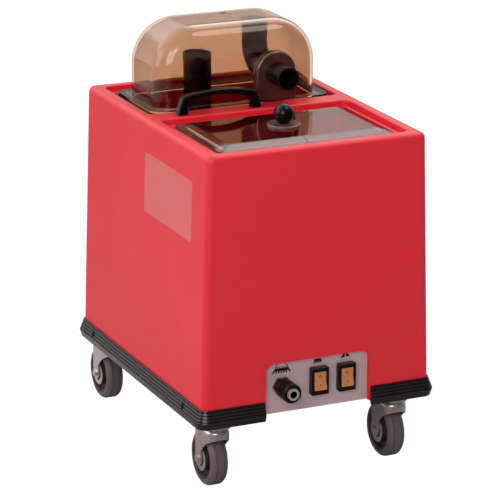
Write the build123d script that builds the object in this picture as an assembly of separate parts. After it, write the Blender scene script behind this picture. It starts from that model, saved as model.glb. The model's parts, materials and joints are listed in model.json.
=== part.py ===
from build123d import *
import os
from math import cos, pi, sin

# Carpet extractor: a red tub body on four swivel casters. It holds a fresh water tank under a smoked
# lid, a recovery tank under a tinted dome, a vacuum motor and a pump. The front is -Y, +Z is up, and
# the origin is on the floor, under the middle of the body. All sizes are in millimetres.

# Body
body_width = 353.0
body_depth = 450.5
side_inset = 10.6
end_inset = 3.2
body_corner = 10.0
body_wall = 6.0
body_height = 381.0
rim_width = 19.0
rim_round = 8.5
rim_inner_round = 2.5
recess_corner = 10.0
deck_drop = 11.0
deck_thick = 6.0
divider_front = -10.0
divider_thick = 34.0
foot_boss_radius = 11.0
foot_boss_height = 30.0
foot_boss_inset = 14.0
foot_boss_y = 120.0
foot_boss_cap = 6.0

# Base and casters
wheel_clear = 10.1
base_thick = 6.0
base_edge = 0.5
base_notch = 28.0
caster_side_inset = 37.5
caster_front_inset = 38.25
caster_rear_inset = 22.25
caster_trail = 22.0
wheel_radius = 40.0
tyre_width = 26.0
tyre_thick = 9.0
tyre_round = 7.5
tyre_groove = 1.0
tyre_groove_place = 5.5
hub_width = 29.0
hub_radius = 18.5
rim_seat_width = 22.0
rim_seat_thick = 4.0
rim_web = 10.0
axle_radius = 4.0
axle_head_radius = 5.6
axle_head_thick = 3.0
fork_gap = 31.0
fork_sheet = 2.5
fork_foot_radius = 9.5
fork_front = 18.0
fork_arch_low = 15.0
fork_arch_high = 38.0
fork_arch_sag = 3.0
fork_shoulder = 8.0
fork_flat = 1.0
caster_head_radius = 21.5
caster_head_thick = 13.0
caster_plate_thick = 3.0
caster_neck_radius = 19.5
caster_neck = 4.0
king_radius = 5.0
king_head_radius = 9.0
king_head_thick = 6.0
nut_thick = 8.0
king_thread = 2.0

# Bumper band
band_rise = 21.0
band_bulge = 8.0
band_lip = 1.6
band_slope = 17.0
band_toe = 3.0
band_groove = 1.4
band_groove_depth = 1.2
band_grooves = 4
band_fit = 0.2
band_gap = 82.5
screw_radius = 2.0
screw_head_radius = 4.5
screw_head_thick = 2.0
screw_stop = 1.0
band_seat = 1.4
band_bore_gap = 0.5
side_screw_inset = 56.25
rear_screw_inset = 56.5
band_screw_rise = 12.0

# Tanks
tank_wall = 4.0
tank_flange = 3.0
tank_fit = 0.3
tank_corner = 8.0
fresh_ledge = 22.0
fresh_rise = 103.0
recovery_rise = 150.0
seal_width = 9.0

# Lid
lid_lap = 8.0
lid_lip = 3.0
lid_rise = 8.5
lid_bevel = 19.0
lid_thick = 3.5
lid_corner = 9.0
lid_top_corner = 4.5
lid_edge_round = 0.8
lid_skirt_depth = 7.0
lid_skirt_gap = 1.0
knob_radius = 14.5
knob_flat = 1.0
knob_disc_radius = 24.0
knob_disc_thick = 3.0
knob_screw_radius = 3.0
knob_screw_head = 6.0

# Dome
dome_side_gap = 6.9
dome_front_gap = 6.0
dome_back_gap = 27.05
dome_height = 113.0
dome_shoulder = 66.0
dome_edge_round = 30.0
dome_wall = 4.0
dome_flange = 5.0
dome_flange_reach = 12.0
dome_flange_corner = 18.0
seal_thick = 3.0
seal_corner = 4.0
seal_show = 2.0

# Hose inlet and standpipe
inlet_x = 52.5
inlet_rise = 39.5
inlet_radius = 17.0
inlet_wall = 2.5
inlet_stop = 1.0
inlet_front = -11.0
elbow_radius = 18.8
elbow_start = 6.0
elbow_bend = 32.0
elbow_back = 5.0
elbow_gap = 11.0
boss_radius = 32.0
boss_depth = 13.0
boss_round = 4.0
standpipe_x = -40.0
standpipe_back = 2.0
standpipe_radius = 20.5
standpipe_wall = 2.5
standpipe_drop = 50.0
standpipe_flange_radius = 31.0
standpipe_flange_thick = 4.0

# Carry handle
handle_x = -49.0
handle_y = 7.0
handle_centres = 115.0
handle_foot = 16.0
handle_depth = 14.0
handle_height = 33.0
handle_shoulder = 25.0
handle_bar = 9.0
handle_round = 3.0
handle_bolt_radius = 3.0
handle_bolt_grip = 12.0
handle_bolt_head = 4.0
handle_lean = 8.0
handle_inner_lean = 2.0

# Control panel
panel_half = 80.0
panel_rise = 75.0
panel_corner = 13.0
panel_sheet = 2.5
panel_overlap = 8.0
panel_foot = 38.0

# Rocker switches
switch_rise = 40.0
pump_switch_x = 3.0
vacuum_switch_x = 45.2
frame_width = 27.0
frame_height = 40.5
frame_proud = 9.0
frame_corner = 2.5
frame_round = 1.5
switch_body_width = 21.5
switch_body_height = 32.0
switch_body_depth = 26.0
rocker_width = 18.4
rocker_height = 26.4
rocker_thick = 9.0
rocker_dip = 1.8
rocker_proud = 0.6
pivot_depth = -4.0
pivot_end_gap = 0.2
rocker_gap = 1.1
rocker_side_gap = 0.4
rocker_throw = 14.0
pivot_radius = 2.0
pivot_reach = 1.2
pivot_fit = 0.05

# Quick coupling
coupling_x = -53.0
coupling_rise = 38.5
coupling_nose_radius = 8.5
coupling_bore = 10.5
coupling_socket = 22.0
coupling_waterway = 6.0
coupling_nut_radius = 14.5
coupling_nut_thick = 6.0
coupling_collar_radius = 11.2
coupling_collar_thick = 3.0
coupling_shoulder_radius = 12.0
coupling_shoulder_thick = 4.0
sleeve_radius = 14.0
sleeve_length = 24.0
sleeve_nose = 3.0
sleeve_round = 2.0
sleeve_back_round = 0.8
sleeve_plain = 4.0
sleeve_fit = 0.1
sleeve_travel = 4.0
sleeve_clear = 2.45
sleeve_flutes = 24
flute_radius = 1.1
spring_room = 3.0
barb_radius = 5.0
barb_length = 26.0

# Vacuum motor
fan_case_radius = 73.0
fan_case_height = 58.0
fan_case_wall = 3.0
gasket_thick = 8.0
gasket_rim = 8.0
motor_radius = 50.0
motor_wall = 4.0
mount_height = 10.0
mount_wall = 7.0
shaft_radius = 5.0
bearing_radius = 11.0
bearing_height = 8.0
armature_radius = 27.0
armature_gap = 1.0
stator_height = 34.0
impeller_radius = 62.0
impeller_height = 26.0
impeller_plate = 2.0
impeller_blades = 9
impeller_eye = 22.0
impeller_lift = 8.0
shaft_room = 2.0
fan_outlets = 12
fan_outlet_radius = 5.0

# Pump and water lines
pump_x = 30.0
pump_y = -125.0
pump_head_width = 40.0
pump_head_height = 50.0
pump_head_round = 4.0
pump_motor_radius = 28.0
pump_motor_length = 80.0
pump_plate = 3.0
pump_saddle = 14.0
outlet_inset = 18.0
outlet_barb = 15.0
outlet_flange_radius = 9.0
outlet_flange_thick = 3.0
strainer_radius = 14.0
strainer_height = 24.0
tube_radius = 7.0
tube_wall = 2.0
tube_bend = 34.0
strainer_slots = 10

# Cable gland and exhaust
gland_x = 90.0
gland_rise = 35.0
gland_radius = 10.0
gland_nut_radius = 14.0
gland_bore = 5.0
gland_throat = 6.5
gland_nut_thick = 6.0
gland_gap = 0.1
exhaust_slots = 6
exhaust_slot_width = 8.0
exhaust_slot_length = 76.0
exhaust_pitch = 15.0
exhaust_x = 90.0
exhaust_y = 105.0

# Small gaps shared by several fits
hole_fit = 0.3
running_fit = 0.05
turn_gap = 0.4

# Levels and places that follow from the sizes above
axle_z = wheel_radius
base_bottom = 2 * wheel_radius + wheel_clear + fork_sheet + turn_gap + caster_head_thick
base_top = base_bottom + base_thick
rim_top = base_top + body_height
band_top = base_top + band_rise
band_screw_z = base_top + band_screw_rise
fresh_floor = base_top + fresh_rise
recovery_floor = base_top + recovery_rise
panel_top = base_top + panel_rise
switch_z = base_top + switch_rise
coupling_z = base_top + coupling_rise
gland_z = base_top + gland_rise
deck_top = rim_top - deck_drop
deck_bottom = deck_top - deck_thick
seat_top = deck_top + tank_flange
divider_back = divider_front + divider_thick
recess_half = body_width / 2 - side_inset - rim_width
recess_end = body_depth / 2 - end_inset - rim_width
flange_bottom = seat_top + seal_thick
flange_top = flange_bottom + dome_flange
flange_width = 2 * (recess_half - dome_side_gap)
flange_depth = recess_end - dome_back_gap - divider_back - dome_front_gap
dome_width = flange_width - 2 * dome_flange_reach
dome_depth = flange_depth - 2 * dome_flange_reach
dome_front = divider_back + dome_front_gap + dome_flange_reach
dome_back = dome_front + dome_depth
dome_y = (dome_front + dome_back) / 2
dome_top = flange_top + dome_height
inlet_z = flange_top + inlet_rise
elbow_top = dome_top - elbow_gap
elbow_y = dome_y + elbow_back
elbow_front = dome_front + elbow_start
standpipe_top = dome_top - standpipe_drop
standpipe_y = dome_y + standpipe_back
recovery_width = flange_width - 2 * seal_width
recovery_depth = flange_depth - 2 * seal_width
fresh_width = 2 * (recess_half - fresh_ledge)
fresh_depth = recess_end + divider_front - 2 * fresh_ledge
fresh_y = (divider_front - recess_end) / 2
lid_top = seat_top + lid_rise
lid_width = fresh_width + 2 * lid_lap
lid_depth = fresh_depth + 2 * lid_lap
knob_z = lid_top + knob_disc_thick + knob_radius - knob_flat
panel_lean = end_inset * (panel_top + panel_overlap - base_top) / (rim_top - base_top)
panel_front = -(body_depth / 2 - body_wall - panel_lean)
panel_back = panel_front + panel_sheet
caster_x = body_width / 2 - caster_side_inset
caster_front = caster_front_inset - body_depth / 2
caster_rear = body_depth / 2 - caster_rear_inset
side_screw_y = body_depth / 2 - side_screw_inset
rear_screw_x = body_width / 2 - rear_screw_inset
fork_top = base_bottom - caster_head_thick - turn_gap
fork_half = fork_gap / 2 + fork_sheet
fork_nose = fork_half - fork_flat
tyre_bore = wheel_radius - tyre_thick
fan_case_top = recovery_floor - tank_wall - gasket_thick
fan_case_bottom = fan_case_top - fan_case_height
motor_bottom = base_top + mount_height
lower_bearing = motor_bottom + motor_wall
upper_bearing = fan_case_bottom - motor_wall - bearing_height
motor_middle = (motor_bottom + fan_case_bottom) / 2
impeller_low = fan_case_bottom + fan_case_wall + impeller_lift
boss_front = dome_front - boss_depth
sleeve_back = panel_front - coupling_nut_thick - sleeve_travel - sleeve_clear
sleeve_pocket = coupling_collar_thick + sleeve_travel + spring_room
coupling_front = sleeve_back - sleeve_length - sleeve_nose
coupling_shoulder = panel_back + coupling_shoulder_thick
outlet_y = fresh_y + fresh_depth / 2 - outlet_inset
outlet_low = fresh_floor - tank_wall - outlet_flange_thick - outlet_barb


def slab(width, depth, corner, low, high, x=0.0, y=0.0):
    """Upright block with rounded vertical corners."""
    return Pos(x, y, low) * extrude(RectangleRounded(width, depth, corner), high - low)


def post(radius, low, high, x=0.0, y=0.0):
    """Upright cylinder."""
    return Pos(x, y, (low + high) / 2) * Cylinder(radius, high - low)


def rod_x(radius, start, end, y, z):
    """Cylinder along X."""
    return Pos((start + end) / 2, y, z) * Rot(0, 90, 0) * Cylinder(radius, end - start)


def rod_y(radius, start, end, x, z):
    """Cylinder along Y."""
    return Pos(x, (start + end) / 2, z) * Rot(90, 0, 0) * Cylinder(radius, end - start)


def block(x0, x1, y0, y1, z0, z1):
    """Plain box between two corners."""
    return Pos((x0 + x1) / 2, (y0 + y1) / 2, (z0 + z1) / 2) * Box(x1 - x0, y1 - y0, z1 - z0)


def facing_slab(width, height, corner, front, back, x, z):
    """Block with rounded corners in the XZ plane, from y = front to y = back."""
    return Pos(x, back, z) * Rot(90, 0, 0) * extrude(RectangleRounded(width, height, corner), back - front)


def group(pieces):
    """Several separate solids kept as one node."""
    return Compound([solid for piece in pieces for solid in piece.solids()])


def hex_y(corner_radius, start, end, x, z):
    """Hexagonal prism along Y."""
    return Pos(x, end, z) * Rot(90, 0, 0) * extrude(RegularPolygon(corner_radius, 6), end - start)


def hex_z(corner_radius, low, high, x, y):
    """Hexagonal prism along Z."""
    return Pos(x, y, low) * extrude(RegularPolygon(corner_radius, 6), high - low)


def body_size(z, inset):
    """Width and depth of the leaning body at a height, drawn in by an inset."""
    share = (z - base_top) / (rim_top - base_top)
    width = body_width - 2 * (side_inset * share + inset)
    depth = body_depth - 2 * (end_inset * share + inset)
    return width, depth


def body_block(low, high, inset):
    """Solid with the body's leaning sides and round corners."""
    low_width, low_depth = body_size(low, inset)
    high_width, high_depth = body_size(high, inset)
    front = Polyline((-low_width / 2, low), (low_width / 2, low), (high_width / 2, high),
                     (-high_width / 2, high), close=True)
    side = Polyline((-low_depth / 2, low), (low_depth / 2, low), (high_depth / 2, high),
                    (-high_depth / 2, high), close=True)
    block_x = extrude(Plane.XZ * make_face(front), body_depth, both=True)
    block_y = extrude(Plane.YZ * make_face(side), body_width, both=True)
    solid = block_x & block_y
    corners = [edge for edge in solid.edges() if abs(edge.tangent_at(0.5).Z) > 0.5]
    return fillet(corners, body_corner - inset)


def front_recess(low, high, inset=0.0):
    """The space above the deck around the lid."""
    depth = recess_end + divider_front
    return slab(2 * (recess_half - inset), depth - 2 * inset, recess_corner - inset, low, high, 0, fresh_y)


def rear_recess(low, high, inset=0.0):
    """The space above the deck around the dome."""
    depth = recess_end - divider_back
    middle = (recess_end + divider_back) / 2
    return slab(2 * (recess_half - inset), depth - 2 * inset, recess_corner - inset, low, high, 0, middle)


def fresh_mouth(low, high, grow=0.0):
    """The fresh water tank's inside, grown by a wall or a clearance."""
    corner = tank_corner + grow
    return slab(fresh_width + 2 * grow, fresh_depth + 2 * grow, corner, low, high, 0, fresh_y)


def recovery_mouth(low, high, grow=0.0):
    """The recovery tank's inside, grown by a wall or a clearance."""
    corner = tank_corner + grow
    return slab(recovery_width + 2 * grow, recovery_depth + 2 * grow, corner, low, high, 0, dome_y)


def corner_places(x, y):
    """The four places at plus and minus x and y."""
    return [(sx * x, sy * y) for sx in (-1, 1) for sy in (-1, 1)]


def caster_places():
    """The four swivel axes."""
    return [(sx * caster_x, y) for sx in (-1, 1) for y in (caster_front, caster_rear)]


boss_places = corner_places(body_width / 2 - foot_boss_inset, foot_boss_y)
handle_feet = [handle_x - handle_centres / 2, handle_x + handle_centres / 2]
screw_depth = band_seat + body_wall - screw_stop


def band_screw_places():
    """Each screw's seat in the band, with the direction it is driven in."""
    side = body_width / 2 + band_seat
    rear = body_depth / 2 + band_seat
    sides = [(sx * side, sy * side_screw_y, -sx, 0) for sx in (-1, 1) for sy in (-1, 1)]
    rears = [(sx * rear_screw_x, rear, 0, -1) for sx in (-1, 1)]
    return sides + rears


def band_screw(x, y, inward_x, inward_y, radius, depth, head_radius, head_thick):
    """A screw, or the room for it, along X or Y: its shank goes inward from the seat, its head outward."""
    if inward_x:
        rod, start, inward, across = rod_x, x, inward_x, y
    else:
        rod, start, inward, across = rod_y, y, inward_y, x
    end = start + inward * depth
    top = start - inward * head_thick
    shank = rod(radius, min(start, end), max(start, end), across, band_screw_z)
    return shank + rod(head_radius, min(start, top), max(start, top), across, band_screw_z)


def band_screw_rooms():
    """The stepped holes for the band's screws."""
    return [band_screw(*place, screw_radius + hole_fit, screw_depth, screw_head_radius + band_bore_gap,
                       band_bulge) for place in band_screw_places()]


def panel_opening(front, back):
    """The cut in the body's front wall, open at the bottom, with round upper corners."""
    low = base_bottom - 2 * panel_corner
    return facing_slab(2 * panel_half, panel_top - low, panel_corner, front, back, 0, (panel_top + low) / 2)


def is_recess_edge(edge):
    """Tells an edge around a recess from one around the rim's outside."""
    box = edge.bounding_box()
    middle_x = recess_half + rim_width / 4
    middle_y = recess_end + rim_width / 4
    return max(box.max.X, -box.min.X) < middle_x and max(box.max.Y, -box.min.Y) < middle_y


def make_body_shell():
    """Outer casing with the rim, the deck, the divider, four bosses and a notch for the cable gland."""
    shell = body_block(base_top, rim_top, 0)
    shell = fillet(shell.edges().group_by(Axis.Z)[-1], rim_round)
    shell -= body_block(base_top, deck_bottom, body_wall)
    within = body_block(base_top, rim_top, body_wall / 2)
    for x, y in boss_places:
        shell += post(foot_boss_radius, base_top, base_top + foot_boss_height, x, y) & within
    shell -= front_recess(deck_top, rim_top)
    shell -= rear_recess(deck_top, rim_top)
    shell = fillet([edge for edge in shell.edges().group_by(Axis.Z)[-1] if is_recess_edge(edge)],
                   rim_inner_round)
    shell -= fresh_mouth(deck_bottom, deck_top, tank_wall + tank_fit)
    shell -= recovery_mouth(deck_bottom, deck_top, tank_wall + tank_fit)
    shell -= panel_opening(-body_depth, panel_front)
    for x, y in boss_places:
        shell -= post(screw_radius + hole_fit, base_top, base_top + foot_boss_height - foot_boss_cap, x, y)
    for room in band_screw_rooms():
        shell -= room
    for x in handle_feet:
        shell -= post(handle_bolt_radius + hole_fit, deck_bottom, rim_top, x, handle_y)
    notch = gland_radius + hole_fit
    return shell - block(gland_x - notch, gland_x + notch, recess_end, body_depth / 2, base_top,
                         gland_z + notch)


def make_tub(mouth, recess, floor):
    """Open tank that hangs in the deck by a flange."""
    tub = mouth(floor - tank_wall, seat_top, tank_wall)
    tub += recess(deck_top, seat_top, tank_fit)
    return tub - mouth(floor, seat_top, 0)


def make_fresh_tank():
    """Fresh water tank with its outlet hole."""
    tub = make_tub(fresh_mouth, front_recess, fresh_floor)
    return tub - post(barb_radius + hole_fit, fresh_floor - tank_wall, fresh_floor, pump_x, outlet_y)


def make_recovery_tank():
    """Recovery tank with the standpipe's hole."""
    tub = make_tub(recovery_mouth, rear_recess, recovery_floor)
    hole = post(standpipe_radius + hole_fit, recovery_floor - tank_wall, recovery_floor,
                standpipe_x, standpipe_y)
    return tub - hole


def make_base_plate():
    """Base with a notch behind the panel, caster holes, screw holes and exhaust slots."""
    width = body_width - 2 * base_edge
    depth = body_depth - 2 * base_edge
    plate = slab(width, depth, body_corner, base_bottom, base_top)
    notch_half = panel_half + panel_overlap
    plate -= block(-notch_half, notch_half, -body_depth, base_notch - depth / 2, base_bottom, base_top)
    for x, y in caster_places():
        plate -= post(king_radius + hole_fit, base_bottom, base_top, x, y)
    for x, y in boss_places:
        plate -= post(screw_radius + hole_fit, base_bottom, base_top, x, y)
    for i in range(exhaust_slots):
        x = exhaust_x + (i - (exhaust_slots - 1) / 2) * exhaust_pitch
        slot = SlotOverall(exhaust_slot_length, exhaust_slot_width, rotation=90)
        plate -= Pos(x, exhaust_y, base_bottom) * extrude(slot, base_thick)
    return plate


def make_base_screws():
    """Pan head screws from below into the body's bosses."""
    top = base_top + foot_boss_height - foot_boss_cap - screw_stop
    screws = []
    for x, y in boss_places:
        head = post(screw_head_radius, base_bottom - screw_head_thick, base_bottom, x, y)
        screws.append(post(screw_radius, base_bottom - screw_head_thick, top, x, y) + head)
    return group(screws)


def band_ring(offset, low, high):
    """Solid rounded outline around the body's foot, grown by an offset."""
    width = body_width + 2 * offset
    depth = body_depth + 2 * offset
    return slab(width, depth, body_corner + offset, low, high)


def band_level(offset, z):
    """The band's rounded outline at one height."""
    width = body_width + 2 * offset
    depth = body_depth + 2 * offset
    return Pos(0, 0, z) * RectangleRounded(width, depth, body_corner + offset)


def make_bumper_band():
    """Band around the foot, open in front of the panel, that leans outward and has grooves along it."""
    widest = band_top - band_slope
    band = loft([band_level(band_bulge, widest), band_level(band_lip, band_top)])
    band += loft([band_level(band_bulge - band_toe, base_bottom), band_level(band_bulge, widest)])
    pitch = band_slope / band_grooves
    for i in range(band_grooves):
        middle = widest + (i + 0.5) * pitch
        offset = band_lip + (band_bulge - band_lip) * (band_top - middle) / band_slope - band_groove_depth
        low = middle - band_groove / 2
        high = middle + band_groove / 2
        band -= band_ring(2 * band_bulge, low, high) - band_ring(offset, low, high)
    band -= band_ring(band_fit, base_bottom, band_top)
    band -= block(-band_gap, band_gap, -body_depth, panel_front, base_bottom, band_top)
    for room in band_screw_rooms():
        band -= room
    return band


def make_bumper_screws():
    """Screws through the band into the body, with their heads sunk in it."""
    depth = screw_depth - hole_fit
    return group([band_screw(*place, screw_radius, depth, screw_head_radius, screw_head_thick)
                  for place in band_screw_places()])


def make_control_panel():
    """Sheet metal panel behind the front cut, with a foot on the base."""
    width = 2 * (panel_half + panel_overlap)
    high = panel_top + panel_overlap
    panel = facing_slab(width, high - base_top, panel_corner, panel_front, panel_back, 0,
                        (high + base_top) / 2)
    panel += block(-width / 2, width / 2, panel_front, panel_back, base_top, base_top + panel_corner)
    panel += block(-width / 2, width / 2, panel_front, panel_front + panel_foot, base_top,
                   base_top + panel_sheet)
    for x in (pump_switch_x, vacuum_switch_x):
        panel -= block(x - switch_body_width / 2 - hole_fit, x + switch_body_width / 2 + hole_fit,
                       panel_front, panel_back, switch_z - switch_body_height / 2 - hole_fit,
                       switch_z + switch_body_height / 2 + hole_fit)
    panel -= rod_y(coupling_nose_radius + hole_fit, panel_front, panel_back, coupling_x, coupling_z)
    return panel


def make_switch_frame(x):
    """Switch body behind the panel and its raised frame, with a pocket for the rocker."""
    front = panel_front - frame_proud
    frame = facing_slab(frame_width, frame_height, frame_corner, front, panel_front, x, switch_z)
    frame = fillet(frame.edges().group_by(Axis.Y)[0], frame_round)
    frame += block(x - switch_body_width / 2, x + switch_body_width / 2, panel_front,
                   panel_front + switch_body_depth, switch_z - switch_body_height / 2,
                   switch_z + switch_body_height / 2)
    half_x = rocker_width / 2 + rocker_side_gap
    half_z = rocker_height / 2 + rocker_gap
    frame -= block(x - half_x, x + half_x, front, panel_front + rocker_thick, switch_z - half_z,
                   switch_z + half_z)
    reach = half_x + pivot_reach
    frame -= rod_x(pivot_radius + pivot_fit, x - reach, x + reach, panel_front + pivot_depth, switch_z)
    return frame


def make_switch_rocker(x):
    """Rocker with two slanted halves on a pivot pin, tipped to its off position."""
    half = rocker_height / 2
    front = -frame_proud - rocker_proud
    back = front + rocker_thick
    outline = Polyline((front, -half), (front + rocker_dip, 0), (front, half), (back, half), (back, -half),
                       close=True)
    rocker = extrude(Plane.YZ * make_face(outline), rocker_width / 2, both=True)
    reach = rocker_width / 2 + rocker_side_gap + pivot_reach - pivot_end_gap
    rocker += rod_x(pivot_radius, -reach, reach, pivot_depth, 0)
    rocker = Pos(0, -pivot_depth, 0) * rocker
    return Pos(x, panel_front + pivot_depth, switch_z) * Rot(-rocker_throw / 2, 0, 0) * rocker


def make_coupling_body():
    """Chromed nose, spring collar, rear shoulder and hose barb in one turned piece."""
    x, z = coupling_x, coupling_z
    body = rod_y(coupling_nose_radius, coupling_front, panel_back, x, z)
    body += rod_y(coupling_collar_radius, sleeve_back, sleeve_back + coupling_collar_thick, x, z)
    body += rod_y(coupling_shoulder_radius, panel_back, coupling_shoulder, x, z)
    body += rod_y(barb_radius, coupling_shoulder, coupling_shoulder + barb_length, x, z)
    body -= rod_y(coupling_waterway / 2, coupling_front, coupling_shoulder + barb_length, x, z)
    body -= rod_y(coupling_bore / 2, coupling_front, coupling_front + coupling_socket, x, z)
    return body


def make_coupling_nut():
    """Hexagonal nut that clamps the coupling to the panel."""
    nut = hex_y(coupling_nut_radius, panel_front - coupling_nut_thick, panel_front, coupling_x, coupling_z)
    return nut - rod_y(coupling_nose_radius + running_fit, panel_front - coupling_nut_thick, panel_front,
                       coupling_x, coupling_z)


def make_coupling_sleeve():
    """Fluted release sleeve that is drawn back against its spring."""
    x, z = coupling_x, coupling_z
    front = sleeve_back - sleeve_length
    sleeve = rod_y(sleeve_radius, front, sleeve_back, x, z)
    sleeve = fillet(sleeve.edges().group_by(Axis.Y)[0], sleeve_round)
    sleeve = fillet(sleeve.edges().group_by(Axis.Y)[-1], sleeve_back_round)
    for i in range(sleeve_flutes):
        turn = 2 * pi * i / sleeve_flutes
        sleeve -= rod_y(flute_radius, front + sleeve_plain, sleeve_back - sleeve_plain,
                        x + sleeve_radius * cos(turn), z + sleeve_radius * sin(turn))
    sleeve -= rod_y(coupling_nose_radius + sleeve_fit, front, sleeve_back, x, z)
    sleeve -= rod_y(coupling_collar_radius + sleeve_fit, sleeve_back - sleeve_pocket, sleeve_back, x, z)
    return sleeve


def make_carry_handle():
    """Low bridge handle with two feet on the divider."""
    outer = handle_centres / 2 + handle_foot / 2
    inner = handle_centres / 2 - handle_foot / 2
    shoulder = outer - handle_lean
    bar_end = inner - handle_inner_lean
    lines = [
        Line((-outer, 0), (-shoulder, handle_shoulder)),
        ThreePointArc((-shoulder, handle_shoulder), (0, handle_height), (shoulder, handle_shoulder)),
        Line((shoulder, handle_shoulder), (outer, 0)),
        Line((outer, 0), (inner, 0)),
        Line((inner, 0), (bar_end, handle_shoulder - handle_bar)),
        ThreePointArc((bar_end, handle_shoulder - handle_bar), (0, handle_height - handle_bar),
                      (-bar_end, handle_shoulder - handle_bar)),
        Line((-bar_end, handle_shoulder - handle_bar), (-inner, 0)),
        Line((-inner, 0), (-outer, 0)),
    ]
    handle = extrude(Plane.XZ * make_face(lines), handle_depth / 2, both=True)
    rounded = [edge for edge in handle.edges() if edge.bounding_box().max.Z > handle_round]
    handle = fillet(rounded, handle_round)
    handle = Pos(handle_x, handle_y, rim_top) * handle
    for x in handle_feet:
        handle -= post(handle_bolt_radius + running_fit, rim_top, rim_top + handle_bolt_grip, x, handle_y)
    return handle


def make_handle_bolts():
    """Bolts from under the deck into the handle's feet."""
    bolts = []
    for x in handle_feet:
        bolt = post(handle_bolt_radius, deck_bottom, rim_top + handle_bolt_grip - hole_fit, x, handle_y)
        bolt += hex_z(2 * handle_bolt_radius, deck_bottom - handle_bolt_head, deck_bottom, x, handle_y)
        bolts.append(bolt)
    return group(bolts)


def make_lid():
    """Smoked lid with a flat top, a slanted edge and a skirt that drops into the tank's mouth."""
    top_width = lid_width - 2 * lid_bevel
    top_depth = lid_depth - 2 * lid_bevel
    lip_top = seat_top + lid_lip
    lid = slab(lid_width, lid_depth, lid_corner, seat_top, lip_top, 0, fresh_y)
    foot = Pos(0, fresh_y, lip_top) * RectangleRounded(lid_width, lid_depth, lid_corner)
    head = Pos(0, fresh_y, lid_top) * RectangleRounded(top_width, top_depth, lid_top_corner)
    lid += loft([foot, head])
    lid = fillet(lid.edges().group_by(Axis.Z)[-1], lid_edge_round)
    under = lid_top - lid_thick
    room = lid_lap + lid_skirt_gap + lid_thick
    low = Pos(0, fresh_y, seat_top) * RectangleRounded(lid_width - 2 * room, lid_depth - 2 * room,
                                                       lid_top_corner)
    high = Pos(0, fresh_y, under) * RectangleRounded(top_width, top_depth, lid_top_corner)
    lid -= loft([low, high])
    skirt = fresh_mouth(seat_top - lid_skirt_depth, seat_top, -lid_skirt_gap)
    skirt -= fresh_mouth(seat_top - lid_skirt_depth, seat_top, -lid_skirt_gap - lid_thick)
    lid += skirt
    return lid - post(knob_screw_radius + hole_fit, under, lid_top, 0, fresh_y)


def make_knob_disc():
    """Round plate under the ball knob."""
    disc = post(knob_disc_radius, lid_top, lid_top + knob_disc_thick, 0, fresh_y)
    disc = fillet(disc.edges().group_by(Axis.Z)[-1], knob_disc_thick / 2)
    return disc - post(knob_screw_radius + hole_fit, lid_top, lid_top + knob_disc_thick, 0, fresh_y)


def make_lid_knob():
    """Ball knob with a flat foot on its plate."""
    ball = Pos(0, fresh_y, knob_z) * Sphere(knob_radius)
    foot = lid_top + knob_disc_thick
    ball -= post(knob_radius, knob_z - 2 * knob_radius, foot, 0, fresh_y)
    return ball - post(knob_screw_radius + running_fit, foot, knob_z, 0, fresh_y)


def make_knob_screw():
    """Screw from under the lid into the ball."""
    under = lid_top - lid_thick
    screw = post(knob_screw_radius, under, knob_z - hole_fit, 0, fresh_y)
    return screw + post(knob_screw_head, under - knob_screw_radius, under, 0, fresh_y)


def dome_block(shrink):
    """Loaf shaped block, drawn in by a wall, cut off level with the flange's underside."""
    low = flange_bottom - 2 * dome_shoulder
    top = dome_top - shrink
    loaf = facing_slab(dome_width - 2 * shrink, top - low, dome_shoulder - shrink, dome_front + shrink,
                       dome_back - shrink, 0, (top + low) / 2)
    ends = loaf.edges().group_by(Axis.Y)
    loaf = fillet(ends[0] + ends[-1], dome_edge_round - shrink)
    return loaf - block(-dome_width, dome_width, dome_front, dome_back, low, flange_bottom)


def arch(radius, low, front, back):
    """Block with an arched top around the hose inlet's axis."""
    drop = inlet_z - low
    outline = Circle(radius) + Pos(0, -drop / 2) * Rectangle(2 * radius, drop)
    return Pos(inlet_x, back, inlet_z) * Rot(90, 0, 0) * extrude(outline, back - front)


def make_dome():
    """Tinted dome with its flange and a slot, open below, that the hose inlet is slid up into."""
    dome = dome_block(0)
    dome += slab(flange_width, flange_depth, dome_flange_corner, flange_bottom, flange_top, 0, dome_y)
    dome -= dome_block(dome_wall)
    slot = inlet_radius + hole_fit
    return dome - block(inlet_x - slot, inlet_x + slot, dome_front, dome_front + dome_wall, flange_bottom,
                        inlet_z + slot)


def make_dome_seal():
    """Pale foam seal under the dome's flange."""
    width = flange_width + 2 * seal_show
    depth = flange_depth + 2 * seal_show
    seal = slab(width, depth, seal_corner, seat_top, flange_bottom, 0, dome_y)
    return seal - recovery_mouth(seat_top, flange_bottom)


def pipe(points, bend, radius):
    """Round solid along straight runs joined by arcs."""
    path = FilletPolyline(*points, radius=bend)
    return sweep(Plane(origin=path @ 0, z_dir=path % 0) * Circle(radius), path=path)


def make_inlet_pipe():
    """Straight hose stub through the boss, with a stop for the hose cuff."""
    bore = inlet_radius - inlet_wall
    stub = rod_y(inlet_radius, inlet_front, dome_front, inlet_x, inlet_z)
    stub -= rod_y(bore, inlet_front, boss_front, inlet_x, inlet_z)
    return stub - rod_y(bore - inlet_stop, boss_front, dome_front, inlet_x, inlet_z)


def make_inlet_elbow():
    """Elbow inside the dome, with a spigot through its slot, that turns the flow up towards the top."""
    corner, end = (inlet_x, elbow_y, inlet_z), (inlet_x, elbow_y, elbow_top)
    elbow = pipe([(inlet_x, elbow_front, inlet_z), corner, end], elbow_bend, elbow_radius)
    elbow += rod_y(inlet_radius, dome_front, elbow_front, inlet_x, inlet_z)
    return elbow - pipe([(inlet_x, dome_front, inlet_z), corner, end], elbow_bend, inlet_radius - inlet_wall)


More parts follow.
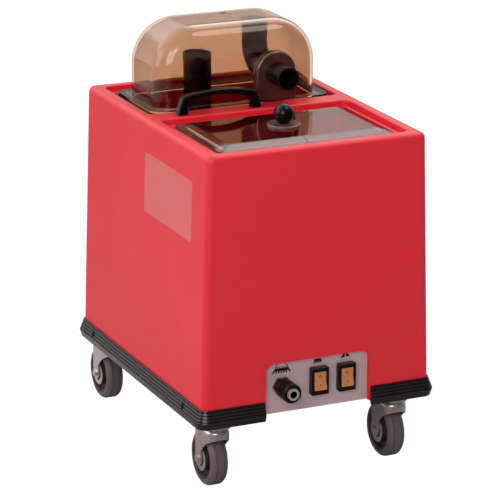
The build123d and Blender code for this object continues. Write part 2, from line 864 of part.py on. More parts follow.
def make_inlet_boss():
    """Arched block on the dome's front and flange that carries the hose stub."""
    boss = arch(boss_radius, flange_top - 2 * boss_round, boss_front, dome_front)
    boss = fillet(boss.edges().group_by(Axis.Y)[0], boss_round)
    boss -= block(inlet_x - 2 * boss_radius, inlet_x + 2 * boss_radius, boss_front, dome_front,
                  flange_top - boss_radius, flange_top)
    return boss - rod_y(inlet_radius + running_fit, boss_front, dome_front, inlet_x, inlet_z)


def make_standpipe():
    """Air pipe from the vacuum motor up into the dome, with a flange on the tank's floor."""
    x, y = standpipe_x, standpipe_y
    tube = post(standpipe_radius, fan_case_top, standpipe_top, x, y)
    tube += post(standpipe_flange_radius, recovery_floor, recovery_floor + standpipe_flange_thick, x, y)
    return tube - post(standpipe_radius - standpipe_wall, fan_case_top, standpipe_top, x, y)


def make_motor_gasket():
    """Rubber ring between the fan case and the tank's floor."""
    inner = standpipe_radius + hole_fit
    ring = post(inner + gasket_rim, fan_case_top, fan_case_top + gasket_thick, standpipe_x, standpipe_y)
    return ring - post(inner, fan_case_top, fan_case_top + gasket_thick, standpipe_x, standpipe_y)


def make_fan_case():
    """Round fan housing with an inlet on top and outlet holes below."""
    x, y = standpipe_x, standpipe_y
    case = post(fan_case_radius, fan_case_bottom, fan_case_top, x, y)
    case -= post(fan_case_radius - fan_case_wall, fan_case_bottom + fan_case_wall,
                 fan_case_top - fan_case_wall, x, y)
    case -= post(standpipe_radius - standpipe_wall, fan_case_top - fan_case_wall, fan_case_top, x, y)
    case -= post(shaft_radius + shaft_room, fan_case_bottom, fan_case_bottom + fan_case_wall, x, y)
    ring = (motor_radius + fan_case_radius) / 2
    for i in range(fan_outlets):
        turn = 2 * pi * i / fan_outlets
        case -= post(fan_outlet_radius, fan_case_bottom, fan_case_bottom + fan_case_wall,
                     x + ring * cos(turn), y + ring * sin(turn))
    return case


def make_motor_can():
    """Motor housing with a bearing seat at each end."""
    x, y = standpipe_x, standpipe_y
    can = post(motor_radius, motor_bottom, fan_case_bottom, x, y)
    room = post(motor_radius - motor_wall, motor_bottom + motor_wall, fan_case_bottom - motor_wall, x, y)
    room -= post(bearing_radius + motor_wall, motor_bottom, lower_bearing + bearing_height, x, y)
    room -= post(bearing_radius + motor_wall, upper_bearing, fan_case_bottom, x, y)
    can -= room
    can -= post(bearing_radius + running_fit, lower_bearing, lower_bearing + bearing_height, x, y)
    can -= post(bearing_radius + running_fit, upper_bearing, upper_bearing + bearing_height, x, y)
    return can - post(shaft_radius + shaft_room, upper_bearing, fan_case_bottom, x, y)


def make_motor_bearings():
    """The two shaft bearings."""
    rings = []
    for low in (lower_bearing, upper_bearing):
        ring = post(bearing_radius, low, low + bearing_height, standpipe_x, standpipe_y)
        rings.append(ring - post(shaft_radius + running_fit, low, low + bearing_height, standpipe_x,
                                 standpipe_y))
    return group(rings)


def make_stator():
    """Stator pack inside the motor housing."""
    low = motor_middle - stator_height / 2
    ring = post(motor_radius - motor_wall - running_fit, low, low + stator_height, standpipe_x, standpipe_y)
    return ring - post(armature_radius + armature_gap, low, low + stator_height, standpipe_x, standpipe_y)


def make_rotor():
    """Motor shaft with its armature."""
    low = motor_middle - stator_height / 2
    shaft = post(shaft_radius, lower_bearing + turn_gap, impeller_low + impeller_height, standpipe_x,
                 standpipe_y)
    return shaft + post(armature_radius, low, low + stator_height, standpipe_x, standpipe_y)


def make_impeller():
    """Fan wheel: a back plate, a front ring and straight blades."""
    x, y = standpipe_x, standpipe_y
    high = impeller_low + impeller_height
    wheel = post(impeller_radius, impeller_low, impeller_low + impeller_plate, x, y)
    ring = post(impeller_radius, high - impeller_plate, high, x, y)
    wheel += ring - post(impeller_eye, high - impeller_plate, high, x, y)
    wheel += post(2 * shaft_radius, impeller_low, high, x, y)
    for i in range(impeller_blades):
        blade = block(impeller_eye - impeller_plate, impeller_radius - impeller_plate, -impeller_plate / 2,
                      impeller_plate / 2, impeller_low, high)
        wheel += Pos(x, y, 0) * Rot(0, 0, 360 * i / impeller_blades) * blade
    return wheel - post(shaft_radius + running_fit, impeller_low, high, x, y)


def make_motor_mount():
    """Rubber ring that carries the motor on the base."""
    ring = post(motor_radius, base_top, motor_bottom, standpipe_x, standpipe_y)
    return ring - post(motor_radius - mount_wall, base_top, motor_bottom, standpipe_x, standpipe_y)


def make_pump():
    """Pump head, its motor and two hose barbs."""
    x, y, z = pump_x, pump_y, coupling_z
    half = pump_head_width / 2
    pump = block(x - half, x + half, y - half, y + half, z - pump_head_height / 2, z + pump_head_height / 2)
    pump = fillet(pump.edges().filter_by(Axis.Z), pump_head_round)
    pump += rod_x(pump_motor_radius, x + half, x + half + pump_motor_length, y, z)
    pump += rod_x(barb_radius, x - half - outlet_barb, x - half, y, z)
    pump += rod_y(barb_radius, y + half, y + half + outlet_barb, x, z)
    return pump


def make_pump_bracket():
    """Plate on the base with a rest under the pump's head and two saddles under its motor."""
    x, y, z = pump_x, pump_y, coupling_z
    half = pump_head_width / 2
    bracket = block(x - half, x + half + pump_motor_length, y - half, y + half, base_top,
                    base_top + pump_plate)
    bracket += block(x - pump_saddle / 2, x + pump_saddle / 2, y - half, y + half, base_top,
                     z - pump_head_height / 2)
    for share in (0.25, 0.75):
        middle = x + half + share * pump_motor_length
        saddle = block(middle - pump_saddle / 2, middle + pump_saddle / 2, y - half, y + half, base_top,
                       z - pump_motor_radius / 2)
        saddle -= rod_x(pump_motor_radius + running_fit, middle - pump_saddle, middle + pump_saddle, y, z)
        bracket += saddle
    return bracket


def make_tank_outlet():
    """Flanged fitting through the fresh tank's floor, with a barb below."""
    floor_bottom = fresh_floor - tank_wall
    fitting = post(barb_radius, outlet_low, fresh_floor, pump_x, outlet_y)
    fitting += post(outlet_flange_radius, fresh_floor, fresh_floor + outlet_flange_thick, pump_x, outlet_y)
    fitting += post(outlet_flange_radius, floor_bottom - outlet_flange_thick, floor_bottom, pump_x,
                    outlet_y)
    return fitting - post(coupling_waterway / 2, outlet_low, fresh_floor + outlet_flange_thick, pump_x,
                          outlet_y)


def make_tank_strainer():
    """Slotted cap over the tank's outlet."""
    high = fresh_floor + strainer_height
    cap = post(strainer_radius, fresh_floor, high, pump_x, outlet_y)
    cap -= post(strainer_radius - tube_wall, fresh_floor, high - tube_wall, pump_x, outlet_y)
    for i in range(strainer_slots):
        slot = block(strainer_radius - 2 * tube_wall, strainer_radius + tube_wall, -tube_wall / 2,
                     tube_wall / 2, fresh_floor + tube_wall, high - 2 * tube_wall)
        cap -= Pos(pump_x, outlet_y, 0) * Rot(0, 0, 360 * i / strainer_slots) * slot
    return cap


def make_tube(points):
    """Soft tube pushed over two barbs."""
    return pipe(points, tube_bend, tube_radius) - pipe(points, tube_bend, barb_radius + running_fit)


def make_suction_tube():
    """Tube from the tank's outlet to the pump."""
    top = fresh_floor - tank_wall - outlet_flange_thick
    end = pump_y + pump_head_width / 2
    return make_tube([(pump_x, outlet_y, top), (pump_x, outlet_y, coupling_z), (pump_x, end, coupling_z)])


def make_pressure_tube():
    """Tube from the pump to the quick coupling."""
    end = pump_x - pump_head_width / 2
    return make_tube([(coupling_x, coupling_shoulder, coupling_z), (coupling_x, pump_y, coupling_z),
                      (end, pump_y, coupling_z)])


def make_cable_gland():
    """Cable gland that slides up into the rear wall's notch: a tight bore outside, a wide throat inside."""
    outside = body_depth / 2
    end = outside + 2 * gland_nut_thick
    lean = end_inset * (gland_z - base_top) / (rim_top - base_top)
    inside = outside - body_wall - lean - gland_gap
    start = inside - gland_nut_thick
    gland = rod_y(gland_radius, start, end, gland_x, gland_z)
    gland += hex_y(gland_nut_radius, start, inside, gland_x, gland_z)
    gland += hex_y(gland_nut_radius, outside, outside + gland_nut_thick, gland_x, gland_z)
    gland -= rod_y(gland_throat, start, outside, gland_x, gland_z)
    return gland - rod_y(gland_bore, outside, end, gland_x, gland_z)


def make_caster_heads():
    """The four fixed swivel heads under the base: a plate, a neck and a ball race."""
    heads = []
    for x, y in caster_places():
        plate_low = base_bottom - caster_plate_thick
        head = post(caster_head_radius, plate_low, base_bottom, x, y)
        head += post(caster_neck_radius, plate_low - caster_neck, plate_low, x, y)
        race = post(caster_head_radius, base_bottom - caster_head_thick, plate_low - caster_neck, x, y)
        head += fillet(race.edges().group_by(Axis.Z)[0], caster_plate_thick / 2)
        heads.append(head - post(king_radius + running_fit, base_bottom - caster_head_thick, base_bottom,
                                 x, y))
    return group(heads)


def make_caster_bolts():
    """The four king bolts that hold the forks, with their nuts on the base."""
    pieces = []
    for x, y in caster_places():
        head_top = fork_top - fork_sheet - turn_gap
        bolt = post(king_radius, head_top, base_top + nut_thick + king_thread, x, y)
        bolt += hex_z(king_head_radius, head_top - king_head_thick, head_top, x, y)
        nut = hex_z(king_head_radius, base_top, base_top + nut_thick, x, y)
        nut -= post(king_radius + running_fit, base_top, base_top + nut_thick, x, y)
        pieces.append(bolt)
        pieces.append(nut)
    return group(pieces)


def fork_side():
    """Side view of a fork: an upright rear edge, a round foot and a front edge that arches to the crown."""
    rear = caster_trail + fork_foot_radius
    leg = caster_trail - fork_foot_radius
    low = axle_z + fork_arch_low
    high = axle_z + fork_arch_high
    slant = ((leg - fork_front) / 2 + fork_arch_sag / 2, (low + high) / 2 + fork_arch_sag / 2)
    lines = [
        Line((rear, fork_top), (rear, axle_z)),
        ThreePointArc((rear, axle_z), (caster_trail, axle_z - fork_foot_radius), (leg, axle_z)),
        Line((leg, axle_z), (leg, low)),
        ThreePointArc((leg, low), slant, (-fork_front, high)),
        Line((-fork_front, high), (-fork_front, fork_top)),
        Line((-fork_front, fork_top), (rear, fork_top)),
    ]
    return make_face(lines)


def fork_form(inset, rear):
    """A fork's outer form, or its room at one sheet's inset: straight sides, a round nose, rounded shoulders."""
    half = fork_half - inset
    form = block(-half, half, inset - fork_front, rear, 0, fork_top - inset)
    nose = [edge for edge in form.edges().filter_by(Axis.Z) if edge.center().Y < 0]
    form = fillet(nose, fork_nose - inset)
    shoulders = form.faces().sort_by(Axis.Z)[-1].edges().sort_by(Axis.Y)[:-1]
    return fillet(shoulders, fork_shoulder - inset)


def make_fork(x, y):
    """Pressed fork with a round nose, an arched lower edge and two legs that trail to the axle."""
    fork = extrude(Plane.YZ * fork_side(), fork_half, both=True)
    fork &= fork_form(0, caster_trail + fork_foot_radius)
    fork -= fork_form(fork_sheet, caster_trail + wheel_radius)
    fork -= post(king_radius + running_fit, fork_top - fork_sheet, fork_top)
    fork -= rod_x(axle_radius + running_fit, -fork_half, fork_half, caster_trail, axle_z)
    return Pos(x, y, 0) * fork


def make_axle(x, y):
    """Axle bolt with its head on one leg and its nut on the other."""
    place = y + caster_trail
    head = Pos(x, place, axle_z) * Rot(0, 90, 0)
    axle = rod_x(axle_radius, x - fork_half, x + fork_half, place, axle_z)
    axle += head * (Pos(0, 0, fork_half) * extrude(RegularPolygon(axle_head_radius, 6), axle_head_thick))
    axle += head * (Pos(0, 0, -fork_half - axle_head_thick)
                    * extrude(RegularPolygon(axle_head_radius, 6), axle_head_thick))
    return axle


def make_wheel_rim(x, y):
    """Wheel centre: hub, web and the seat of the tyre."""
    place = y + caster_trail
    rim = rod_x(tyre_bore - running_fit, x - rim_seat_width / 2, x + rim_seat_width / 2, place, axle_z)
    dish = rod_x(tyre_bore - rim_seat_thick, x + rim_web / 2, x + rim_seat_width / 2, place, axle_z)
    dish += rod_x(tyre_bore - rim_seat_thick, x - rim_seat_width / 2, x - rim_web / 2, place, axle_z)
    rim -= dish
    rim += rod_x(hub_radius, x - hub_width / 2, x + hub_width / 2, place, axle_z)
    return rim - rod_x(axle_radius + running_fit, x - hub_width / 2, x + hub_width / 2, place, axle_z)


def make_tyre(x, y):
    """Grey rubber tyre with two fine grooves."""
    place = y + caster_trail
    tyre = rod_x(wheel_radius, x - tyre_width / 2, x + tyre_width / 2, place, axle_z)
    tyre = fillet(tyre.edges().filter_by(GeomType.CIRCLE), tyre_round)
    for side in (-1, 1):
        middle = x + side * tyre_groove_place
        ring = rod_x(wheel_radius, middle - tyre_groove / 2, middle + tyre_groove / 2, place, axle_z)
        ring -= rod_x(wheel_radius - tyre_groove, middle - tyre_groove, middle + tyre_groove, place, axle_z)
        tyre -= ring
    return tyre - rod_x(tyre_bore, x - tyre_width / 2, x + tyre_width / 2, place, axle_z)


def all_parts():
    """Every node's name with its shape."""
    parts = {
        "body_shell": make_body_shell(),
        "fresh_tank": make_fresh_tank(),
        "recovery_tank": make_recovery_tank(),
        "base_plate": make_base_plate(),
        "base_screws": make_base_screws(),
        "bumper_band": make_bumper_band(),
        "bumper_screws": make_bumper_screws(),
        "control_panel": make_control_panel(),
        "pump_switch_frame": make_switch_frame(pump_switch_x),
        "vacuum_switch_frame": make_switch_frame(vacuum_switch_x),
        "pump_switch_rocker": make_switch_rocker(pump_switch_x),
        "vacuum_switch_rocker": make_switch_rocker(vacuum_switch_x),
        "coupling_body": make_coupling_body(),
        "coupling_nut": make_coupling_nut(),
        "coupling_sleeve": make_coupling_sleeve(),
        "carry_handle": make_carry_handle(),
        "handle_bolts": make_handle_bolts(),
        "lid": make_lid(),
        "knob_disc": make_knob_disc(),
        "lid_knob": make_lid_knob(),
        "knob_screw": make_knob_screw(),
        "dome": make_dome(),
        "dome_seal": make_dome_seal(),
        "inlet_pipe": make_inlet_pipe(),
        "inlet_elbow": make_inlet_elbow(),
        "inlet_boss": make_inlet_boss(),
        "standpipe": make_standpipe(),
        "motor_gasket": make_motor_gasket(),
        "fan_case": make_fan_case(),
        "motor_can": make_motor_can(),
        "motor_bearings": make_motor_bearings(),
        "stator": make_stator(),
        "rotor": make_rotor(),
        "impeller": make_impeller(),
        "motor_mount": make_motor_mount(),
        "pump": make_pump(),
        "pump_bracket": make_pump_bracket(),
        "tank_outlet": make_tank_outlet(),
        "tank_strainer": make_tank_strainer(),
        "suction_tube": make_suction_tube(),
        "pressure_tube": make_pressure_tube(),
        "cable_gland": make_cable_gland(),
        "caster_heads": make_caster_heads(),
        "caster_bolts": make_caster_bolts(),
    }
    for end, y in (("front", caster_front), ("rear", caster_rear)):
        for side, sx in (("left", -1), ("right", 1)):
            x = sx * caster_x
            parts[f"fork_{end}_{side}"] = make_fork(x, y)
            parts[f"axle_{end}_{side}"] = make_axle(x, y)
            parts[f"wheel_{end}_{side}"] = make_wheel_rim(x, y)
            parts[f"tyre_{end}_{side}"] = make_tyre(x, y)
    return parts


os.makedirs("parts", exist_ok=True)
for name, shape in all_parts().items():
    export_step(shape, f"parts/{name}.step")
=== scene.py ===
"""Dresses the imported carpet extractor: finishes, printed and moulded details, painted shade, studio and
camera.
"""

import json
import logging
import math
from dataclasses import dataclass
from enum import Enum

import bpy
import numpy as np
from mathutils import Matrix, Vector


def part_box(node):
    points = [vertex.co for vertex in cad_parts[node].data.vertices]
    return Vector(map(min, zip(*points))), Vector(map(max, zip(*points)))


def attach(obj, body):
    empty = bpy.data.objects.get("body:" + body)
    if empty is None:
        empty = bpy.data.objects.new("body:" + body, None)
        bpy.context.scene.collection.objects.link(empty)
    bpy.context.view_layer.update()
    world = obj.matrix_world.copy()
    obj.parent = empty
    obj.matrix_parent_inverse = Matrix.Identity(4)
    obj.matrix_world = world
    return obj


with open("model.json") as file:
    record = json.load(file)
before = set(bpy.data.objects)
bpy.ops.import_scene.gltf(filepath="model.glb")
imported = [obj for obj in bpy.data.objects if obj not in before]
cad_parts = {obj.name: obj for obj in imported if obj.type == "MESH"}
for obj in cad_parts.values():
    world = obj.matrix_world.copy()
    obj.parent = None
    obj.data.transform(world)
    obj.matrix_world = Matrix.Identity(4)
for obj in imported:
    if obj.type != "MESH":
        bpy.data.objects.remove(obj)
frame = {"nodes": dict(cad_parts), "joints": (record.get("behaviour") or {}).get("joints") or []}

LOG = logging.getLogger("extractor")
MM = 0.001
WHITE = "#ffffff"
BLACK = "#000000"
RIGHT = Vector((1, 0, 0))
REARWARD = Vector((0, 1, 0))
UPWARD = Vector((0, 0, 1))
Mesh = tuple[np.ndarray, list]
Place = tuple[float, float, float]
Outline = tuple[tuple[float, float], ...]

# Steps around a turned piece, and around a small round sign or corner.
ROUND_STEPS = 48
SMALL_STEPS = 32
# Noise detail of the fine texture, of soft waves and of the colour's mottling.
FINE_DETAIL = 4.0
SOFT_DETAIL = 1.0
CLOUD_DETAIL = 3.0
# How brushed lines are drawn out along X.
BRUSHED_SCALE = (0.03, 1.0, 1.0)
# Blend of the tone that a clear sheet has where it is seen edge on.
RIM_BLEND = 0.5
# Threshold between none and one, for counts and switches in shaders.
HALF = 0.5


def linear(code: str) -> tuple[float, float, float, float]:
    """Turns an sRGB hex colour into linear values.

    Args:
        code: six hex digits after a hash sign.

    Returns:
        Red, green, blue and a full alpha.
    """
    parts = np.array([int(code[i:i + 2], 16) for i in (1, 3, 5)]) / 255.0
    low = parts / 12.92
    high = ((parts + 0.055) / 1.055) ** 2.4
    red, green, blue = np.where(parts <= 0.04045, low, high)
    return float(red), float(green), float(blue), 1.0


def add(tree: bpy.types.NodeTree, kind: str, sockets: dict | None = None,
        **settings: object) -> bpy.types.Node:
    """Adds a node, sets its properties, and fills or links its inputs.

    Args:
        tree: the node tree.
        kind: the node's type name.
        sockets: input name or number to a value, or to the output it is linked to.
        settings: the node's own properties.

    Returns:
        The new node.
    """
    node = tree.nodes.new(kind)
    for name, value in settings.items():
        setattr(node, name, value)
    for name, value in (sockets or {}).items():
        if isinstance(value, bpy.types.NodeSocket):
            tree.links.new(value, node.inputs[name])
        else:
            node.inputs[name].default_value = value
    return node


def calc(tree: bpy.types.NodeTree, operation: str, first: object, second: object,
         clamp: bool = False) -> bpy.types.NodeSocket:
    """Adds a maths node.

    Args:
        tree: the node tree.
        operation: the node's operation.
        first: a value, or the output it is linked to.
        second: a value, or the output it is linked to.
        clamp: whether the result is kept between 0 and 1.

    Returns:
        The result.
    """
    node = add(tree, "ShaderNodeMath", {0: first, 1: second}, operation=operation, use_clamp=clamp)
    return node.outputs[0]


def remap(tree: bpy.types.NodeTree, value: bpy.types.NodeSocket, start: tuple[float, float],
          end: tuple[float, float], bend: str = "LINEAR") -> bpy.types.NodeSocket:
    """Adds a node that carries one range of values to another.

    Args:
        tree: the node tree.
        value: the value.
        start: the range that it has.
        end: the range that it gets.
        bend: how it runs between the ends.

    Returns:
        The new value.
    """
    ends = {"From Min": start[0], "From Max": start[1], "To Min": end[0], "To Max": end[1]}
    node = add(tree, "ShaderNodeMapRange", {"Value": value} | ends, interpolation_type=bend)
    return node.outputs["Result"]


def mix_colours(tree: bpy.types.NodeTree, factor: bpy.types.NodeSocket, first: object,
                second: object) -> bpy.types.NodeSocket:
    """Adds a node that mixes two colours.

    Args:
        tree: the node tree.
        factor: the second colour's share.
        first: a colour, or the output it is linked to.
        second: a colour, or the output it is linked to.

    Returns:
        The mixed colour.
    """
    node = add(tree, "ShaderNodeMix", {"Factor": factor, "A": first, "B": second}, data_type="RGBA")
    return node.outputs["Result"]


class Grain(Enum):
    """How a surface was formed, which sets the kind of relief it has."""

    ORANGE_PEEL = "moulded skin with soft waves"
    SPARK = "fine spark eroded texture"
    BRUSHED = "fine lines along X"
    SPANGLE = "zinc crystals"
    POLISHED = "slow waves of a pressed sheet"


@dataclass(frozen=True)
class Finish:
    """One real material with its surface, as a procedural shader.

    Colour is the main tone and tone the other one that it is mottled with. Roughness varies by the spread
    to either side. Rim, where it is given, is the deeper tone that a clear sheet has where it is seen edge
    on. Sheen is the shader's specular level, 0.5 for a plain surface. Lengths are in millimetres.
    """

    name: str
    colour: str
    tone: str
    roughness: float
    spread: float
    grain: Grain
    grain_mm: float
    relief_mm: float
    mottle_mm: float
    metallic: float = 0.0
    ior: float = 1.5
    clear: float = 0.0
    coat: float = 0.0
    rim: str = ""
    sheen: float = 0.5

    def height(self, tree: bpy.types.NodeTree, place: bpy.types.NodeSocket) -> bpy.types.NodeSocket:
        """Adds the texture that the relief is read from.

        Args:
            tree: the material's nodes.
            place: object coordinates in metres.

        Returns:
            The height, from 0 to 1.
        """
        scale = 1.0 / (self.grain_mm * MM)
        if self.grain is Grain.SPANGLE:
            cells = add(tree, "ShaderNodeTexVoronoi", {"Vector": place, "Scale": scale})
            return cells.outputs["Distance"]
        if self.grain is Grain.BRUSHED:
            drawn = add(tree, "ShaderNodeMapping", {"Vector": place, "Scale": BRUSHED_SCALE})
            place = drawn.outputs["Vector"]
        detail = FINE_DETAIL if self.grain is Grain.SPARK else SOFT_DETAIL
        waves = add(tree, "ShaderNodeTexNoise", {"Vector": place, "Scale": scale, "Detail": detail})
        return waves.outputs["Fac"]

    def material(self) -> bpy.types.Material:
        """Builds the shader: mottled colour, uneven gloss and a fine relief.

        Returns:
            The material.
        """
        made = bpy.data.materials.new(self.name)
        made.use_nodes = True
        tree = made.node_tree
        tree.nodes.clear()
        place = add(tree, "ShaderNodeTexCoord").outputs["Object"]
        scale = 1.0 / (self.mottle_mm * MM)
        noise = add(tree, "ShaderNodeTexNoise", {"Vector": place, "Scale": scale, "Detail": CLOUD_DETAIL})
        cloud = noise.outputs["Fac"]
        colour = mix_colours(tree, cloud, linear(self.colour), linear(self.tone))
        if self.rim:
            slant = add(tree, "ShaderNodeLayerWeight", {"Blend": RIM_BLEND}).outputs["Facing"]
            colour = mix_colours(tree, slant, colour, linear(self.rim))
        gloss = remap(tree, cloud, (0.0, 1.0), (self.roughness - self.spread, self.roughness + self.spread))
        relief = add(tree, "ShaderNodeBump", {"Height": self.height(tree, place), "Strength": 1.0,
                                              "Distance": self.relief_mm * MM})
        shader = add(tree, "ShaderNodeBsdfPrincipled", {
            "Base Color": colour, "Roughness": gloss, "Normal": relief.outputs["Normal"],
            "Metallic": self.metallic, "IOR": self.ior, "Transmission Weight": self.clear,
            "Coat Weight": self.coat, "Specular IOR Level": self.sheen})
        add(tree, "ShaderNodeOutputMaterial", {"Surface": shader.outputs["BSDF"]})
        return made


# Rotomoulded polyethylene, satin: a soft orange peel that blurs what it mirrors.
RED_POLYETHYLENE = Finish("red_polyethylene_satin", "#e0222f", "#da1f2c", 0.44, 0.04, Grain.ORANGE_PEEL,
                          2.4, 0.02, 90.0, ior=1.45)
# Moulded ABS, satin black: a fine texture with a low sheen; also painted shade in the coupling's bore.
BLACK_ABS = Finish("black_abs_satin", "#0d090a", "#130e0f", 0.24, 0.05, Grain.SPARK, 0.6, 0.01, 25.0,
                   sheen=0.25)
# Phenolic, polished black: sharp reflections.
BLACK_PHENOLIC = Finish("black_phenolic_polished", "#080506", "#0c0809", 0.08, 0.02, Grain.POLISHED,
                        12.0, 0.01, 20.0, sheen=0.14)
# Extruded PVC bumper, satin black: a smooth skin with a faint bloom.
BLACK_PVC = Finish("black_pvc_extruded", "#130a0c", "#1c1113", 0.28, 0.06, Grain.SPARK, 0.9, 0.006, 18.0)
# Closed cell foam, dark: open dull pores.
DARK_FOAM = Finish("dark_foam_cut", "#2c1d1e", "#382728", 0.85, 0.05, Grain.SPARK, 0.8, 0.08, 12.0)
# Cast acrylic, smoked brown: clear, glossy and slightly uneven.
SMOKED_ACRYLIC = Finish("smoked_acrylic_polished", "#cf9a90", "#cb958b", 0.03, 0.01, Grain.POLISHED,
                        60.0, 0.01, 120.0, ior=1.45, clear=1.0, rim="#a8766c")
# Vacuum formed polycarbonate, amber: clear, glossy, with slow waves.
AMBER_POLYCARBONATE = Finish("amber_polycarbonate_formed", "#bea18b", "#ba9c85", 0.03, 0.01, Grain.POLISHED,
                             70.0, 0.01, 160.0, ior=1.36, clear=1.0, rim="#8b6d5a")
# Thick acrylic block, dark brown: so deep in colour that it looks solid, with a polished face.
BROWN_ACRYLIC = Finish("brown_acrylic_block", "#4a2624", "#43211f", 0.16, 0.04, Grain.POLISHED,
                       20.0, 0.01, 40.0, ior=1.49, coat=0.3)
# Moulded acrylic washer, smoked: partly clear and slightly dull.
SMOKED_WASHER = Finish("smoked_acrylic_washer", "#7d5b58", "#755350", 0.22, 0.04, Grain.POLISHED,
                       9.0, 0.01, 14.0, ior=1.45, clear=0.3)
# Moulded polycarbonate lens, amber: milky and glossy.
AMBER_LENS = Finish("amber_lens_moulded", "#c8834d", "#bd7743", 0.22, 0.04, Grain.SPARK, 0.7, 0.01, 9.0,
                    coat=0.5)
# Powder coated sheet, silver: fine metallic grain.
SILVER_SHEET = Finish("silver_sheet_coated", "#c6abb0", "#bfa4a9", 0.42, 0.05, Grain.SPARK, 0.5, 0.008, 40.0,
                      metallic=0.15)
# Nickel on brass, satin: bright, with blurred reflections.
NICKEL = Finish("nickel_plate_satin", "#e6dede", "#dcd4d4", 0.38, 0.04, Grain.POLISHED, 15.0, 0.004, 12.0,
                metallic=0.8)
# Pressed steel, zinc plated: bright with dull crystals.
ZINC_PLATE = Finish("zinc_plate_pressed", "#d6c8c9", "#b3a4a5", 0.24, 0.07, Grain.SPANGLE, 2.2, 0.03, 6.0,
                    metallic=0.85)
# Blackened steel: dark, with a dull oily gloss.
BLACK_STEEL = Finish("black_steel_oiled", "#2b2223", "#211a1b", 0.36, 0.06, Grain.SPARK, 0.7, 0.01, 6.0,
                     metallic=0.5)
# Bright drawn steel.
BRIGHT_STEEL = Finish("bright_steel_drawn", "#b4b0b0", "#a29e9e", 0.25, 0.05, Grain.BRUSHED, 0.4, 0.005, 10.0,
                      metallic=1.0)
# Die cast aluminium, as cast: dull silver with a sandy skin.
CAST_ALUMINIUM = Finish("cast_aluminium_raw", "#a9a7a8", "#989697", 0.45, 0.06, Grain.SPARK, 1.0, 0.03, 14.0,
                        metallic=0.9)
# Varnished steel laminations, dark brown.
LAMINATIONS = Finish("varnished_laminations", "#4a3c36", "#3a2f2a", 0.4, 0.06, Grain.BRUSHED, 0.5, 0.03, 8.0,
                     metallic=0.4)
# Solid grey rubber tread: dull, slightly dusty.
GREY_RUBBER = Finish("grey_rubber_tread", "#65535a", "#594a50", 0.62, 0.06, Grain.SPARK, 1.1, 0.03, 16.0)
# Moulded polyamide wheel centre, dark grey.
DARK_POLYAMIDE = Finish("dark_polyamide_moulded", "#2c2426", "#352c2e", 0.42, 0.05, Grain.SPARK,
                        0.8, 0.012, 14.0)
# Flexible PVC tube, milky.
MILKY_PVC = Finish("milky_pvc_tube", "#d6d4cc", "#c9c6bd", 0.3, 0.05, Grain.POLISHED, 8.0, 0.01, 30.0,
                   clear=0.4)
# Black: screen printing ink for the panel's and the rockers' signs, and painted shade along the lid's
# creases.
BLACK_INK_AND_SHADE = Finish("black_ink_and_painted_shade", "#080506", "#0d090a", 0.5, 0.05, Grain.SPARK, 0.5, 0.003, 4.0)
# Polyester film label, left blank: a pale pink film over the red.
PALE_FILM = Finish("pale_film_blank", "#d85e5f", "#d5595a", 0.3, 0.05, Grain.POLISHED, 30.0, 0.01, 60.0)

CASTERS = tuple(f"{end}_{side}" for end in ("front", "rear") for side in ("left", "right"))

WORN_BY: dict[Finish, tuple[str, ...]] = {
    RED_POLYETHYLENE: ("body_shell", "fresh_tank", "recovery_tank"),
    BLACK_ABS: ("base_plate", "pump_switch_frame", "vacuum_switch_frame", "coupling_sleeve", "inlet_pipe",
                "inlet_elbow", "standpipe", "pump", "tank_outlet", "tank_strainer", "cable_gland"),
    BLACK_PHENOLIC: ("lid_knob", "carry_handle"),
    BROWN_ACRYLIC: ("inlet_boss",),
    BLACK_PVC: ("bumper_band", "motor_gasket", "motor_mount"),
    DARK_FOAM: ("dome_seal",),
    SMOKED_ACRYLIC: ("lid",),
    SMOKED_WASHER: ("knob_disc",),
    AMBER_POLYCARBONATE: ("dome",),
    AMBER_LENS: ("pump_switch_rocker", "vacuum_switch_rocker"),
    SILVER_SHEET: ("control_panel",),
    NICKEL: ("coupling_body",),
    BLACK_STEEL: ("coupling_nut", "bumper_screws"),
    ZINC_PLATE: ("base_screws", "handle_bolts", "knob_screw", "pump_bracket", "caster_heads", "caster_bolts",
                 *(f"fork_{caster}" for caster in CASTERS), *(f"axle_{caster}" for caster in CASTERS)),
    BRIGHT_STEEL: ("motor_bearings", "rotor"),
    CAST_ALUMINIUM: ("fan_case", "motor_can", "impeller"),
    LAMINATIONS: ("stator",),
    GREY_RUBBER: tuple(f"tyre_{caster}" for caster in CASTERS),
    DARK_POLYAMIDE: tuple(f"wheel_{caster}" for caster in CASTERS),
    MILKY_PVC: ("suction_tube", "pressure_tube"),
}


class Wardrobe:
    """Makes each material once and puts it on nodes and pieces."""

    def __init__(self) -> None:
        """Starts with no material made."""
        self.made: dict[str, bpy.types.Material] = {}

    def get(self, finish: Finish) -> bpy.types.Material:
        """Gives a finish's material.

        Args:
            finish: the finish.

        Returns:
            Its material, made on the first call.
        """
        if finish.name not in self.made:
            self.made[finish.name] = finish.material()
        return self.made[finish.name]

    def dress(self, thing: bpy.types.Object, finish: Finish) -> None:
        """Puts one material over the whole of an object.

        Args:
            thing: the object.
            finish: its finish.
        """
        thing.data.materials.clear()
        thing.data.materials.append(self.get(finish))

    def dress_nodes(self) -> None:
        """Gives every CAD node its finish."""
        for finish, names in WORN_BY.items():
            for name in names:
                self.dress(frame["nodes"][name], finish)
                LOG.info("node %s wears %s", name, finish.name)


WARDROBE = Wardrobe()


